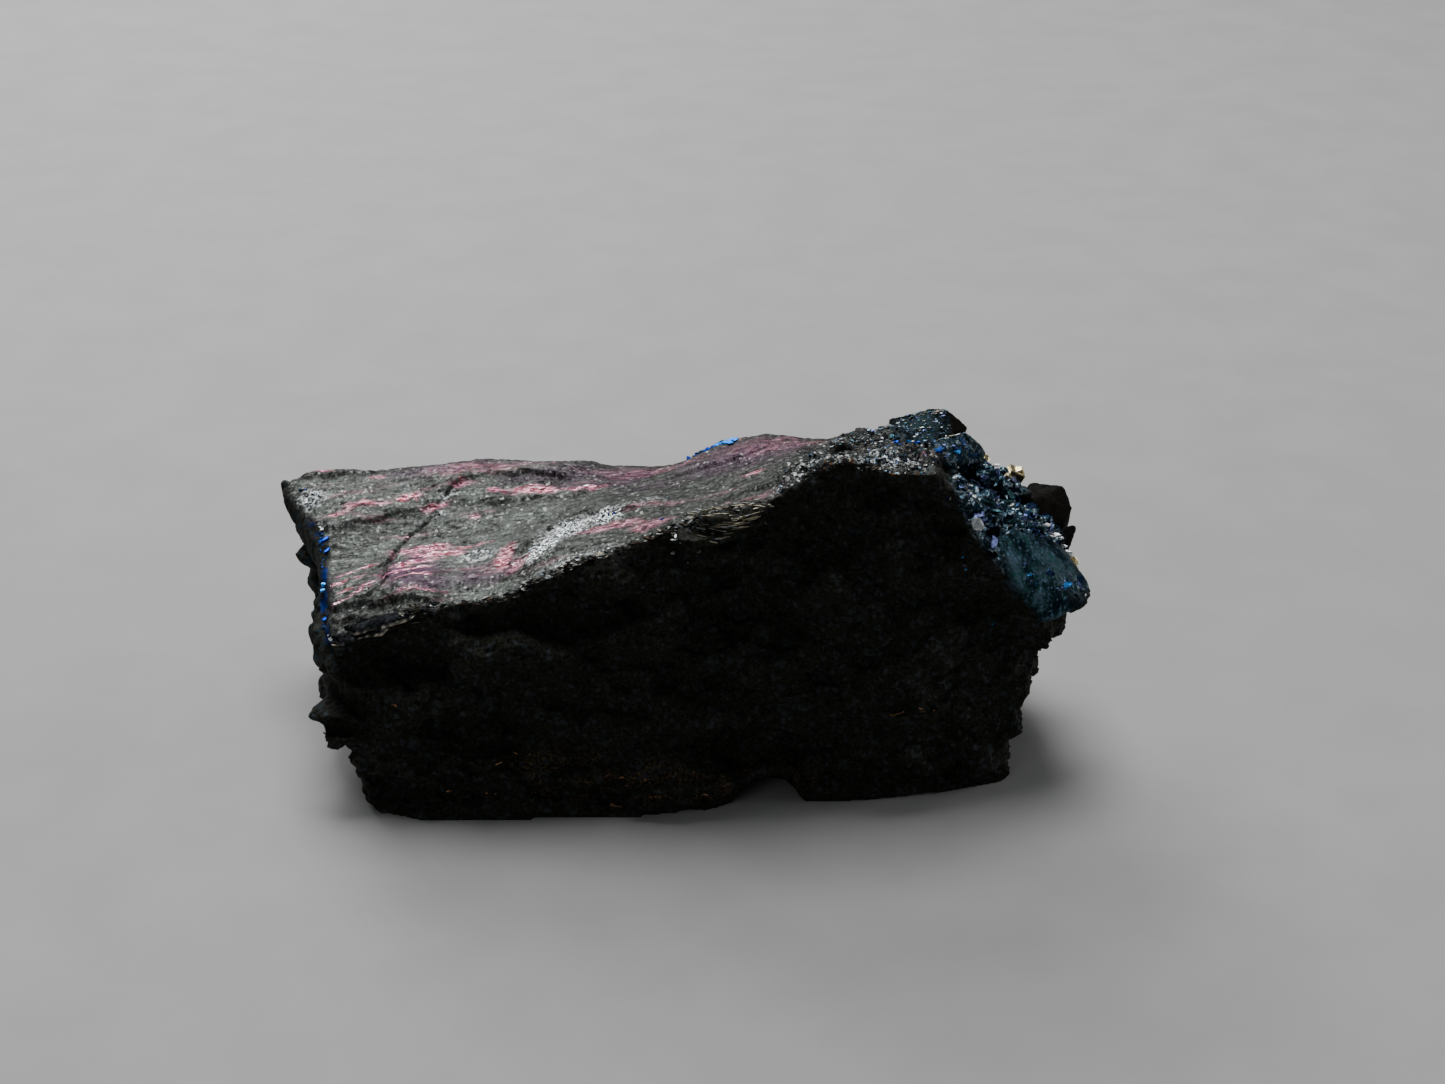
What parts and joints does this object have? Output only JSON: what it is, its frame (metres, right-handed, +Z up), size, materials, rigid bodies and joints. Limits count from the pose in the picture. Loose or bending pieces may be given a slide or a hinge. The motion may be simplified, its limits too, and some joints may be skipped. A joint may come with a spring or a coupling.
{
  "type": "covellite specimen",
  "caption": "Broken slab of massive covellite with a silky iridescent cleavage top, dark hackly sides and a crystal-crusted end holding small pyrite grains.",
  "frame": {"origin": "on the ground, under the middle of the specimen's bounding box", "axes": "+X along the slab towards its crystal-crusted end, -Y towards the large dark broken face, +Z up, square to the flat sole"},
  "size_m": [0.0288, 0.0126, 0.0132],
  "materials": {
    "covellite": "submetallic, silky on the cleavage top and dull on the broken sides, with rose, violet and blue tarnish",
    "pyrite": "bright metallic pale gold"
  },
  "bodies": {
    "root": {"covellite_block": "covellite", "pyrite_shelf_grain": "pyrite", "pyrite_crest_grain": "pyrite", "pyrite_tip_grain": "pyrite"}
  },
  "joints": []
}
